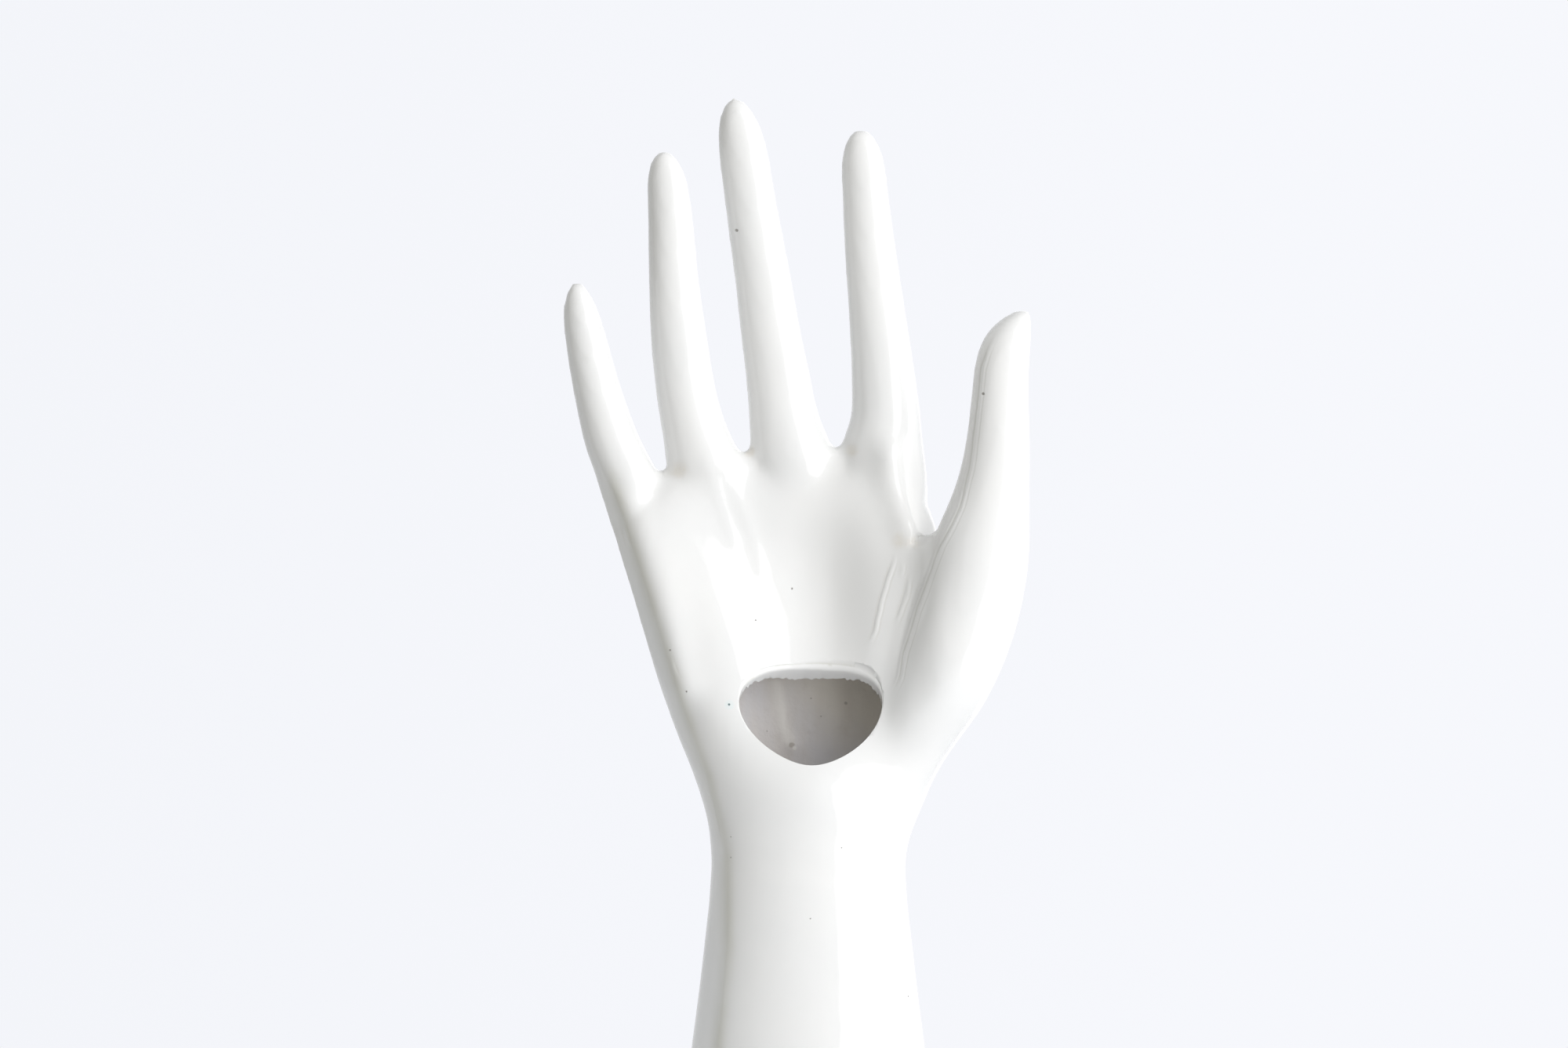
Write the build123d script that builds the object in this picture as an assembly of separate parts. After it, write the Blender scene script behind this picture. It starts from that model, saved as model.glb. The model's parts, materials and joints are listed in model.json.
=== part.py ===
from math import cos, pi, sin
import os

from build123d import *

# A right hand in glazed white ceramic, palm to the front, standing upright on a flared forearm.
# It is a vase: the forearm and the palm are hollow, and a mouth is cut in the heel of the palm.
# X runs to the thumb side, the palm faces -Y, +Z is up, and the origin is the centre of the foot.
# Lengths are millimetres and angles are degrees.

# Forearm
foot_width = 78.0
foot_depth = 62.0
wrist_width = 50.0
wrist_depth = 38.6
wrist_height = 108.0
wall = 4.5
floor_thickness = 5.0

# Palm
palm_width = 84.0
palm_height = 108.0
palm_depth = 39.0
palm_dish = 14.5
hollow_height = 78.0
palm_crown = 21.0

# Mouth, an egg-shaped hole that points up and forward out of the heel of the palm
mouth_width = 36.0
mouth_drop = 16.0
mouth_rise = 12.0
mouth_height = 48.5
mouth_tilt = 37.0
mouth_reach = 18.5
mouth_overrun = 60.0

# Fingers, which start inside the palm this far below its crown
finger_root_depth = 30.0

# Little finger
little_side = -18.1
little_length = 72.0
little_width = 16.4
little_depth = 16.0
little_tip = 9.0
little_back = 1.5
little_lean = -9.0
little_seat = 30.0

# Ring finger
ring_side = -12.9
ring_length = 105.4
ring_width = 21.0
ring_depth = 17.5
ring_tip = 9.0
ring_back = 3.0
ring_lean = -9.0
ring_seat = 38.0

# Middle finger
middle_side = -15.4
middle_length = 118.8
middle_width = 22.0
middle_depth = 18.0
middle_tip = 10.0
middle_back = 4.0
middle_lean = -9.0
middle_seat = 39.0

# Index finger
index_side = -7.6
index_length = 110.8
index_width = 23.0
index_depth = 18.0
index_tip = 9.0
index_back = 3.0
index_lean = -9.0
index_seat = 39.0

# Thumb, which starts inside the palm this far above the wrist
thumb_root_height = 10.0
thumb_side = 42.8
thumb_length = 132.4
thumb_width = 28.0
thumb_depth = 27.0
thumb_tip = 12.0
thumb_back = -2.0
thumb_lean = -15.0
thumb_seat = 86.0

# Where each root lies across the palm's width.
little_place_share = -0.48
ring_place_share = -0.28
middle_place_share = -0.036
index_place_share = 0.25
thumb_place_share = 0.131

# Forearm sections from the foot up to the wrist: height, width flare and depth flare, as shares.
# Flare 1 is the foot's own size and flare 0 is the wrist's.
forearm_shares = [
    (0.0, 1.0, 1.0),
    (0.2, 0.78, 0.78),
    (0.4, 0.54, 0.53),
    (0.6, 0.33, 0.3),
    (0.8, 0.14, 0.11),
    (1.0, 0.0, 0.0),
]

# Palm sections from the wrist up: height, left edge and right edge as shares of the palm's width,
# front and back as shares of its depth, and how deep the palm is dished, as a share.
palm_shares = [
    (0.11, -0.307, 0.321, -0.5, 0.49, 0.0),
    (0.22, -0.347, 0.357, -0.515, 0.49, 0.0),
    (0.33, -0.403, 0.393, -0.5, 0.49, 0.3),
    (0.44, -0.453, 0.419, -0.48, 0.485, 0.8),
    (0.56, -0.501, 0.431, -0.435, 0.475, 1.0),
    (0.67, -0.543, 0.424, -0.385, 0.46, 0.97),
    (0.78, -0.586, 0.405, -0.32, 0.43, 0.8),
    (0.89, -0.61, 0.4, -0.25, 0.39, 0.5),
    (1.0, -0.6, 0.45, -0.18, 0.33, 0.2),
]

# Finger sections from the root up: height along the finger, share of its sideways swing,
# share of its width, share of its depth and share of its forward lean.
little_shares = [
    (0.0, 0.0, 0.64, 0.4, 0.0),
    (0.1, 0.12, 0.86, 0.62, 0.0),
    (0.25, 0.25, 1.0, 0.92, 0.02),
    (0.34, 0.35, 0.98, 0.99, 0.05),
    (0.42, 0.485, 0.91, 0.93, 0.11),
    (0.5, 0.595, 0.835, 0.86, 0.19),
    (0.65, 0.755, 0.73, 0.76, 0.39),
    (0.8, 0.88, 0.64, 0.66, 0.63),
    (0.9, 0.95, 0.54, 0.56, 0.81),
    (1.0, 1.0, 0.42, 0.44, 1.0),
]
ring_shares = [
    (0.0, 0.0, 0.6, 0.35, 0.0),
    (0.13, 0.04, 0.93, 0.68, 0.0),
    (0.23, 0.147, 1.0, 0.93, 0.01),
    (0.29, 0.3, 0.88, 0.94, 0.03),
    (0.35, 0.45, 0.785, 0.88, 0.07),
    (0.42, 0.58, 0.73, 0.82, 0.13),
    (0.55, 0.72, 0.68, 0.75, 0.28),
    (0.7, 0.825, 0.597, 0.67, 0.49),
    (0.85, 0.89, 0.53, 0.59, 0.74),
    (1.0, 1.0, 0.42, 0.46, 1.0),
]
middle_shares = [
    (0.0, 0.0, 0.6, 0.35, 0.0),
    (0.14, 0.01, 0.96, 0.66, 0.0),
    (0.22, 0.03, 1.0, 0.92, 0.0),
    (0.26, 0.08, 0.95, 0.94, 0.01),
    (0.306, 0.165, 0.84, 0.87, 0.03),
    (0.357, 0.24, 0.775, 0.8, 0.06),
    (0.41, 0.297, 0.743, 0.75, 0.1),
    (0.51, 0.425, 0.69, 0.7, 0.2),
    (0.61, 0.535, 0.652, 0.67, 0.33),
    (0.71, 0.66, 0.618, 0.64, 0.48),
    (0.8, 0.77, 0.585, 0.61, 0.62),
    (0.88, 0.86, 0.56, 0.57, 0.76),
    (1.0, 1.0, 0.42, 0.45, 1.0),
]
index_shares = [
    (0.0, 0.0, 0.6, 0.35, 0.0),
    (0.08, 0.04, 0.92, 0.56, 0.0),
    (0.2, 0.25, 1.0, 0.88, 0.0),
    (0.28, 0.24, 0.9, 0.96, 0.02),
    (0.34, 0.14, 0.78, 0.9, 0.06),
    (0.45, 0.23, 0.695, 0.81, 0.16),
    (0.6, 0.46, 0.617, 0.72, 0.33),
    (0.75, 0.7, 0.552, 0.64, 0.55),
    (0.9, 0.89, 0.478, 0.55, 0.81),
    (1.0, 1.0, 0.41, 0.46, 1.0),
]
thumb_shares = [
    (0.0, 0.0, 0.5, 0.4, 0.0),
    (0.1, 0.23, 0.74, 0.66, 0.12),
    (0.2, 0.397, 0.893, 0.86, 0.29),
    (0.3, 0.541, 0.97, 0.98, 0.46),
    (0.4, 0.642, 1.0, 0.96, 0.6),
    (0.5, 0.725, 0.93, 0.88, 0.73),
    (0.58, 0.768, 0.84, 0.79, 0.83),
    (0.65, 0.814, 0.69, 0.68, 0.9),
    (0.72, 0.846, 0.597, 0.6, 0.95),
    (0.8, 0.862, 0.53, 0.54, 0.99),
    (0.9, 0.88, 0.475, 0.48, 1.0),
    (0.965, 0.93, 0.445, 0.44, 1.0),
    (1.0, 1.0, 0.43, 0.42, 0.98),
]

crown_height = wrist_height + palm_height
finger_root = crown_height - finger_root_depth
thumb_root = wrist_height + thumb_root_height

# The dish of the palm: where its middle lies across the width, and how much of the width it takes.
dish_middle_share = 0.53
dish_span_share = 0.78

# How finely the forms are drawn: points round a section, steps up each form, sections in a cap.
outline_points = 20
height_steps = 16
cap_sections = 4


def slope(rows, place, column):
    """How steeply one column of a table climbs with height at one of its rows."""
    below = rows[max(place - 1, 0)]
    above = rows[min(place + 1, len(rows) - 1)]
    return (above[column] - below[column]) / (above[0] - below[0])


def row_at(rows, height):
    """The row of a table at any height, on a smooth curve through the rows that it has."""
    place = 1
    while place < len(rows) - 1 and rows[place][0] < height:
        place += 1
    low, high = rows[place - 1], rows[place]
    gap = high[0] - low[0]
    part = (height - low[0]) / gap
    ease = part * part * (3 - 2 * part)
    row = [height]
    for column in range(1, len(low)):
        value = low[column] * (1 - ease) + high[column] * ease
        value += slope(rows, place - 1, column) * gap * part * (1 - part) ** 2
        value -= slope(rows, place, column) * gap * (1 - part) * part**2
        row.append(value)
    return row


def level_heights(bottom, top):
    """Evenly spaced heights from bottom to top, each at full size."""
    return [(bottom + (top - bottom) * step / height_steps, 1) for step in range(height_steps + 1)]


def rounded_heights(bottom, top, cap):
    """Heights from bottom to top, each with the share of full size that the round cap leaves there."""
    heights = level_heights(bottom, top - cap)
    for step in range(1, cap_sections + 1):
        turn = pi / 2 * step / (cap_sections + 1)
        heights.append((top - cap + cap * sin(turn), cos(turn)))
    return heights


def dish_shape(across):
    """How deep the dish of the palm is at a share of the width: 1 at its middle, 0 at its edge."""
    away = (across - dish_middle_share) / (dish_span_share / 2)
    return (1 + cos(pi * away)) / 2 if abs(away) < 1 else 0


def body_section(z, left, right, front, back, dish, size):
    """A flat face across the forearm or the palm, dished at the front and drawn in to a size."""
    middle = (left + right) / 2
    centre = (front + dish + back) / 2
    points = []
    for step in range(outline_points):
        turn = 2 * pi * step / outline_points
        x = middle + (right - left) / 2 * cos(turn)
        y = back * sin(turn) if sin(turn) > 0 else -front * sin(turn)
        if sin(turn) < 0:
            y += dish * dish_shape((x - left) / (right - left))
        points.append((middle + (x - middle) * size, centre + (y - centre) * size, z))
    turns = range(outline_points + 1)
    return make_face(Edge.make_spline(points, periodic=True, parameters=turns))


def body_rows():
    """The sections of the forearm and the palm: height, left, right, front, back and dish."""
    rows = []
    for rise, width_flare, depth_flare in forearm_shares:
        half_width = (wrist_width + (foot_width - wrist_width) * width_flare) / 2
        half_depth = (wrist_depth + (foot_depth - wrist_depth) * depth_flare) / 2
        rows.append((wrist_height * rise, -half_width, half_width, -half_depth, half_depth, 0))
    for rise, left, right, front, back, dish in palm_shares:
        rows.append(
            (
                wrist_height + palm_height * rise,
                palm_width * left,
                palm_width * right,
                palm_depth * front,
                palm_depth * back,
                palm_dish * dish,
            )
        )
    return rows


def body_faces(inset, heights):
    """Sections of the forearm and the palm at some heights, drawn in by inset all round."""
    rows = body_rows()
    faces = []
    for z, size in heights:
        z, left, right, front, back, dish = row_at(rows, z)
        faces.append(
            body_section(z, left + inset, right - inset, front + inset, back - inset, dish, size)
        )
    return faces


def palm_shape():
    """The palm without fingers, closed by a round crown."""
    z, left, right, front, back, dish = row_at(body_rows(), crown_height)
    heights = rounded_heights(wrist_height, crown_height, palm_crown)
    return loft(
        body_faces(0, heights) + [Vertex((left + right) / 2, (front + dish + back) / 2, z)]
    )


def finger_shape(x, y, z, side, length, width, depth, lean, tip, shares):
    """One finger from its root in the palm to its round tip."""
    faces = []
    for height, size in rounded_heights(0, length, tip):
        rise, swing, wide, deep, forward = row_at(shares, height / length)
        level = Plane(origin=(x + side * swing, y + lean * forward, z + height))
        faces.append(level * Ellipse(width * wide * size / 2, depth * deep * size / 2))
    return loft(faces + [Vertex(x + side, y + lean, z + length)])


def below(shape, z):
    return split(shape, bisect_by=Plane.XY.offset(z), keep=Keep.BOTTOM)


def above(shape, z):
    return split(shape, bisect_by=Plane.XY.offset(z), keep=Keep.TOP)


def mouth_cutter():
    """The cutter of the mouth, from in front of the palm to just inside its wall."""
    axis = Vector(0, cos(mouth_tilt * pi / 180), -sin(mouth_tilt * pi / 180))
    middle = Vector(0, -palm_depth / 2, wrist_height + mouth_height)
    start = Plane(origin=middle - axis * mouth_overrun, x_dir=(1, 0, 0), z_dir=axis)
    lower = EllipticalCenterArc((0, 0), mouth_width / 2, mouth_drop, 0, arc_size=180)
    upper = EllipticalCenterArc((0, 0), mouth_width / 2, mouth_rise, 180, arc_size=180)
    return extrude(start * make_face([lower, upper]), amount=mouth_overrun + mouth_reach)


# Each finger with the height of the level seam where it is joined to its root on the palm.
fingers = {
    "little_finger": (
        finger_shape(
            palm_width * little_place_share,
            little_back,
            finger_root,
            little_side,
            little_length,
            little_width,
            little_depth,
            little_lean,
            little_tip,
            little_shares,
        ),
        finger_root + little_seat,
    ),
    "ring_finger": (
        finger_shape(
            palm_width * ring_place_share,
            ring_back,
            finger_root,
            ring_side,
            ring_length,
            ring_width,
            ring_depth,
            ring_lean,
            ring_tip,
            ring_shares,
        ),
        finger_root + ring_seat,
    ),
    "middle_finger": (
        finger_shape(
            palm_width * middle_place_share,
            middle_back,
            finger_root,
            middle_side,
            middle_length,
            middle_width,
            middle_depth,
            middle_lean,
            middle_tip,
            middle_shares,
        ),
        finger_root + middle_seat,
    ),
    "index_finger": (
        finger_shape(
            palm_width * index_place_share,
            index_back,
            finger_root,
            index_side,
            index_length,
            index_width,
            index_depth,
            index_lean,
            index_tip,
            index_shares,
        ),
        finger_root + index_seat,
    ),
    "thumb": (
        finger_shape(
            palm_width * thumb_place_share,
            thumb_back,
            thumb_root,
            thumb_side,
            thumb_length,
            thumb_width,
            thumb_depth,
            thumb_lean,
            thumb_tip,
            thumb_shares,
        ),
        thumb_root + thumb_seat,
    ),
}

forearm_heights = level_heights(0, wrist_height)
hollow_heights = level_heights(wrist_height, wrist_height + hollow_height)
forearm_hollow = loft(body_faces(wall, forearm_heights))

parts = {}
parts["forearm"] = loft(body_faces(0, forearm_heights)) - forearm_hollow
parts["base_disc"] = below(forearm_hollow, floor_thickness)

palm = palm_shape()
for name, (shape, seat) in fingers.items():
    palm = palm + below(shape, seat)
    parts[name] = above(shape, seat)
parts["palm"] = palm - loft(body_faces(wall, hollow_heights)) - mouth_cutter()

os.makedirs("parts", exist_ok=True)
for name, shape in parts.items():
    export_step(shape, f"parts/{name}.step")
    print(name, shape.is_valid, round(shape.volume), len(shape.solids()))
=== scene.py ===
import json
import math

import bmesh
import bpy
import numpy as np
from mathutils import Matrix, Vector


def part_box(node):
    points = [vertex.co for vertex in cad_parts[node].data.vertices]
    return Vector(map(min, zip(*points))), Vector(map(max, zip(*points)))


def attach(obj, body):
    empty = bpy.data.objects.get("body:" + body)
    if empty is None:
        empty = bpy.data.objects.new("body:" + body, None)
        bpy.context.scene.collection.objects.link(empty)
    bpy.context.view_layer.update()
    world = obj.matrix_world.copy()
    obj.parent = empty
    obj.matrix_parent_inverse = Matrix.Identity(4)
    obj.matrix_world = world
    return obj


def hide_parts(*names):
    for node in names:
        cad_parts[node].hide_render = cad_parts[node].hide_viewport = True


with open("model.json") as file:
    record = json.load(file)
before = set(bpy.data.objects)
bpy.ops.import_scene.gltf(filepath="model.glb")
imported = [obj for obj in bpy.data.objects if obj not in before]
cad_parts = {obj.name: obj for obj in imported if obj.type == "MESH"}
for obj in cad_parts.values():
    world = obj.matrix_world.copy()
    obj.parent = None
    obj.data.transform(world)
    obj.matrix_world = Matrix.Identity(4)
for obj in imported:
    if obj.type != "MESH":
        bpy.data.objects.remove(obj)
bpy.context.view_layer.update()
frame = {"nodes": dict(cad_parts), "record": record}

# Sizes are metres, angles are degrees.
MM = 0.001

# Camera
CAMERA_PLACE = (-0.006, -0.944, 0.1968)
CAMERA_LENS = 84.96
CAMERA_SENSOR = 36.0

# Skin
HAND_HEIGHT = 304.8 * MM
VOXEL = 1.1 * MM
SEAM_TOLERANCE = 0.002 * MM
FOOT_EDGE = 0.6 * MM
SHARP_ANGLE = 50

# Smoothing: rates of one step in and one step out again, and how often they run
STEP_IN = 0.5
STEP_OUT = -0.53
SOFT_STEP_OUT = -0.512
NOISE_PASSES = 12
FILL_PASSES = 140
FILL_RATE = 0.9
PALM_PASSES = 110
THUMB_ROOT_PASSES = 90
FINGER_ROOT_PASSES = 60
FINAL_PASSES = 6
SOFT_EDGE_PASSES = 6

# Tightest round that the glaze leaves in a crease, from the hollow of the webs to the heel
WEB_ROUND = 4.6 * MM
LITTLE_WEB_ROUND = 1.6 * MM
THUMB_WEB_ROUND = 1.0 * MM
PALM_ROUND = 26.0 * MM
THUMB_CREASE_ROUND = 7.0 * MM
HEEL_ROUND = 45.0 * MM
HOLLOW_ROUND = 3.0 * MM

# Mouth, as the CAD has it
WRIST_HEIGHT = 108.0 * MM
MOUTH_MIDDLE = (0.0, -19.5 * MM, WRIST_HEIGHT + 48.5 * MM)
MOUTH_TILT = 37.0
MOUTH_HALF_WIDTH = 18.0 * MM
MOUTH_DROP = 16.0 * MM
MOUTH_RISE = 12.0 * MM
MOUTH_START = -45.0 * MM
MOUTH_REACH = 18.5 * MM
MOUTH_SIDES = 240
MOUTH_RINGS = 14
MOUTH_SPOKES = 72
MOUTH_RING_POINTS = 420
MOUTH_LIP = 0.35 * MM
MOUTH_TOP_LIP = 1.5 * MM
MOUTH_CHIP = 1.5 * MM

# Edge that the knife left, a little inside the CAD's mouth and narrower towards the bottom
CUT_SHIFT = 0.7 * MM
CUT_DROP = 15.4 * MM
CUT_RISE = 10.7 * MM
CUT_TAPER_SHARE = 0.29

# Clay of the webs as chains of balls, in millimetres: side, depth, height and radius
WIDE_WEB_MIDDLE = (7.6, 2.6, 219.5)
WIDE_WEB_OPEN = 2.9
WIDE_WEB_THICK = 4.5
THUMB_WEB_BALLS = [
    (22.0, -2.0, 184.4, 6.2), (24.0, -2.8, 185.2, 6.2), (26.0, -3.8, 185.8, 6.2),
    (28.0, -5.8, 186.8, 6.0), (30.0, -7.6, 187.8, 6.0), (32.0, -9.6, 188.4, 6.0),
]

# Ridges that stand forward, in millimetres: side and height, and how far and how wide
INDEX_RIDGE = [(21.2, 214), (21.8, 208), (24.0, 202), (25.6, 197.6)]
INDEX_RIDGE_RISE = 2.8
INDEX_RIDGE_WIDTH = 4.8
LITTLE_SIDE_RIDGE = [(-44.2, 200), (-41.6, 190.4), (-38.4, 178.4), (-35.2, 166.4), (-32.6, 157)]
LITTLE_SIDE_RIDGE_RISE = 2.4
LITTLE_SIDE_RIDGE_WIDTH = 5.5

# Dish of the palm and the shelf beside it, in millimetres
DISH_PLACE = (6, 184)
DISH_SPREAD = (13, 16)
DISH_DEPTH = 1.4
SHELF_START = -1.6
SHELF_RISE = 2.9
SHELF_THUMB_RISE = 1.1

# Root of the index finger drawn in, and the swell of the heel on the thumb's side, in millimetres
ROOT_EDGE_PLACE = (32.5, 196.5)
ROOT_EDGE_SPREAD = (6, 7)
ROOT_EDGE_DEPTH = 1.0
SWELL_PLACE = (28, 0, 128)
SWELL_SPREAD = (9, 16, 9)
SWELL_RISE = 1.7

# Mould seams as they run down the front, in millimetres: side and height
LITTLE_SIDE_SEAM = [
    (-52.0, 216), (-48.2, 202.4), (-45.0, 192.4), (-38.6, 172), (-32.4, 152.4), (-25.6, 133),
    (-21.0, 114.4), (-20.4, 90.4), (-23.2, 63), (-26.6, 30), (-31.0, 0),
]
THUMB_SIDE_SEAM = [
    (47.4, 246), (44.6, 240.4), (43.2, 235.8), (42.2, 226), (41.4, 219.6), (40.4, 211.4),
    (39.2, 206.4), (37.8, 200.8), (35.8, 196.6), (33.0, 191.4), (30.2, 183.6), (27.0, 174.4),
    (24.0, 164.4), (23.0, 158.4), (20.0, 151.4),
]
SEAM_TURN_SHARE = 0.36
SEAM_WIDTH = 5.0 * MM
SEAM_SEARCH = 1.2 * MM
SEAM_ROW = 2.0 * MM
SEAM_TOP = 226.0 * MM
SEAM_FRONT = 6.0 * MM

# Runs of thick glaze in front, in millimetres: side and height, and on the palm how far and how wide
GLAZE_RUNS = [
    [(22.8, 191.6), (21.8, 187.4), (20.2, 182.6), (18.4, 176.4), (17.0, 170.2), (14.8, 163.6)],
    [(27.0, 187.2), (25.4, 182.4), (24.8, 178.6), (22.6, 172.6), (20.8, 168.4)],
    [(24.6, 190.4), (23.8, 185.2), (22.2, 180.2)],
    [(-48.0, 200.6), (-46.6, 196.0), (-45.2, 190.6), (-44.4, 187.0)],
    [(-35.6, 165.8), (-33.8, 160.4), (-31.6, 154.8)],
]
PALM_RUNS = [
    [(-20.4, 211), (-17.6, 203), (-14.8, 196), (-12.8, 190), (-11.8, 184.6)],
    [(-25.4, 212), (-23.2, 205.6), (-20.8, 198), (-18.6, 192.6)],
]
PALM_RUN_RISE = 0.22
PALM_RUN_WIDTH = 1.5

# Stained pools of glaze in front, in millimetres: side, height and radius
POOLS = [
    (23.0, 192.6, 2.3), (27.0, 192.2, 1.6), (-32.6, 210.6, 2.4), (-14.6, 215.4, 1.4), (11.2, 215.6, 1.8),
]

# Pinholes and specks in front, in millimetres: side, height and radius
SPECKS = [
    (-18.0, 271.4, 0.42), (-4.0, 180.4, 0.26), (43.6, 229.2, 0.36), (-19.4, 118.0, 0.15),
    (-19.4, 112.8, 0.15), (8.4, 115.8, 0.14), (0.6, 98.2, 0.16), (25.4, 77.4, 0.14),
    (-30.6, 154.6, 0.22), (-34.8, 165.0, 0.18), (-13.2, 172.4, 0.16), (17.4, 148.4, 0.24),
    (-7.0, 142.2, 0.15),
]
BLUE_SPECK = (-19.8, 151.4, 0.34)
BLUE_HALO_RADIUS = 1.3
INSIDE_SPECKS = [(10.0, 150.4, 0.46), (1.0, 151.6, 0.24), (3.6, 147.0, 0.24), (-10.4, 143.2, 0.24)]

# Streak and drip of glaze in the hollow, in millimetres: side and height, how far and how wide
INNER_STREAK = [(-8.2, 156.0), (-7.2, 149.6), (-6.4, 144.6), (-5.2, 141.0)]
STREAK_RISE = 0.35
STREAK_WIDTH = 1.3
INNER_DRIP = (-3.6, 139.3)
DRIP_RISE = 0.7
DRIP_WIDTH = 1.9


# Skin of the hand: one continuous glazed surface over all the clay sections

def cad_triangles(names):
    """Corner places and triangles of some CAD nodes, without the level seam faces between them."""
    seams = [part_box(name)[0].z for name in names]
    places, triangles, count = [], [], 0
    for name in names:
        mesh = frame["nodes"][name].data
        mesh.calc_loop_triangles()
        co = np.empty(len(mesh.vertices) * 3, np.float32)
        mesh.vertices.foreach_get("co", co)
        co = co.reshape(-1, 3)
        corners = np.empty(len(mesh.loop_triangles) * 3, np.int32)
        mesh.loop_triangles.foreach_get("vertices", corners)
        corners = corners.reshape(-1, 3)
        heights = co[corners, 2]
        keep = np.ones(len(corners), bool)
        for seam in seams:
            if seam > SEAM_TOLERANCE:
                keep &= ~(np.abs(heights - seam) < SEAM_TOLERANCE).all(1)
        places.append(co)
        triangles.append(corners[keep] + count)
        count += len(co)
    return np.concatenate(places), np.concatenate(triangles)


def new_mesh(name, places, faces):
    """A mesh of places and faces that are arrays."""
    mesh = bpy.data.meshes.new(name)
    mesh.from_pydata(places.tolist(), [], faces.tolist())
    mesh.update()
    return mesh


def remeshed(mesh, voxel):
    """The mesh drawn again as one closed surface of even quads."""
    body = bpy.data.objects.new("remesh_source", mesh)
    bpy.context.scene.collection.objects.link(body)
    remesh = body.modifiers.new("remesh", "REMESH")
    remesh.mode = "VOXEL"
    remesh.voxel_size = voxel
    remesh.use_smooth_shade = True
    graph = bpy.context.evaluated_depsgraph_get()
    result = bpy.data.meshes.new_from_object(body.evaluated_get(graph))
    bpy.data.objects.remove(body)
    return result


class Surface:
    """Places, edges and quads of a mesh as arrays, with the smoothing that the skin needs."""

    def __init__(self, mesh):
        self.mesh = mesh
        self.co = np.empty(len(mesh.vertices) * 3)
        mesh.vertices.foreach_get("co", self.co)
        self.co = self.co.reshape(-1, 3)
        self.edges = np.empty(len(mesh.edges) * 2, np.int32)
        mesh.edges.foreach_get("vertices", self.edges)
        self.edges = self.edges.reshape(-1, 2)
        self.quads = np.empty(len(mesh.loops), np.int32)
        mesh.loops.foreach_get("vertex_index", self.quads)
        self.quads = self.quads.reshape(-1, 4)
        self.count = len(self.co)
        self.degree = np.bincount(self.edges.ravel(), minlength=self.count)

    def average(self, values):
        """Mean of each vertex's neighbours."""
        if values.ndim == 1:
            return self.average(values[:, None])[:, 0]
        a, b = self.edges[:, 0], self.edges[:, 1]
        total = np.empty_like(values)
        for column in range(values.shape[1]):
            total[:, column] = np.bincount(a, values[b, column], self.count)
            total[:, column] += np.bincount(b, values[a, column], self.count)
        return total / self.degree[:, None]

    def normals(self):
        """Mean direction of the quads round each vertex."""
        corner = self.co[self.quads]
        face = np.cross(corner[:, 2] - corner[:, 0], corner[:, 3] - corner[:, 1])
        normal = np.zeros_like(self.co)
        for column in range(3):
            for place in range(4):
                normal[:, column] += np.bincount(self.quads[:, place], face[:, column], self.count)
        return normal / np.linalg.norm(normal, axis=1, keepdims=True)

    def smooth(self, passes):
        """Takes out ripples without shrinking the form."""
        for _ in range(passes):
            for rate in (STEP_IN, STEP_OUT):
                self.co += rate * (self.average(self.co) - self.co)

    def soften(self, share, passes, step_out=0):
        """Evens out broad bumps where a share from 0 to 1 says so."""
        for _ in range(passes):
            for rate in (STEP_IN, step_out):
                self.co += (rate * share)[:, None] * (self.average(self.co) - self.co)

    def blurred(self, values, passes):
        """Values spread softly to the neighbours."""
        for _ in range(passes):
            values = (values + self.average(values)) / 2
        return values

    def hollowness(self):
        """How far the neighbours' mean stands proud of each vertex: above zero in a crease."""
        return ((self.average(self.co) - self.co) * self.normals()).sum(1)

    def fill_creases(self, round_at, passes, rate, spacing):
        """Glaze and clay round off each crease that is tighter than the round allowed there."""
        for step in range(passes):
            if step % 20 == 0:
                allowed = spacing**2 / 4 / round_at(self.co)
            normal = self.normals()
            proud = ((self.average(self.co) - self.co) * normal).sum(1)
            self.co += normal * (np.clip(proud - allowed, 0, None) * rate)[:, None]

    def reach(self, start, open_to):
        """Vertices that can be reached from a start through those that are open."""
        reached = np.zeros(self.count, bool)
        reached[start] = True
        a, b = self.edges[:, 0], self.edges[:, 1]
        while True:
            before = reached.sum()
            for _ in range(8):
                reached[b[reached[a]]] = True
                reached &= open_to
                reached[a[reached[b]]] = True
                reached &= open_to
            if reached.sum() == before:
                return reached

    def store(self):
        """Puts the places back into the mesh."""
        self.mesh.vertices.foreach_set("co", self.co.ravel())
        self.mesh.update()

    def attribute(self, name, values):
        """Stores a value for each vertex, which the material reads by its name."""
        layer = self.mesh.attributes.new(name, "FLOAT", "POINT")
        layer.data.foreach_set("value", np.ascontiguousarray(values, np.float32))


def ramp(values, low, high):
    """0 below low, 1 above high and a smooth climb between."""
    part = np.clip((values - low) / (high - low), 0, 1)
    return part * part * (3 - 2 * part)


def blend(low, high, share):
    """From low at a share of 0 to high at a share of 1."""
    return low * (1 - share) + high * share


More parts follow.
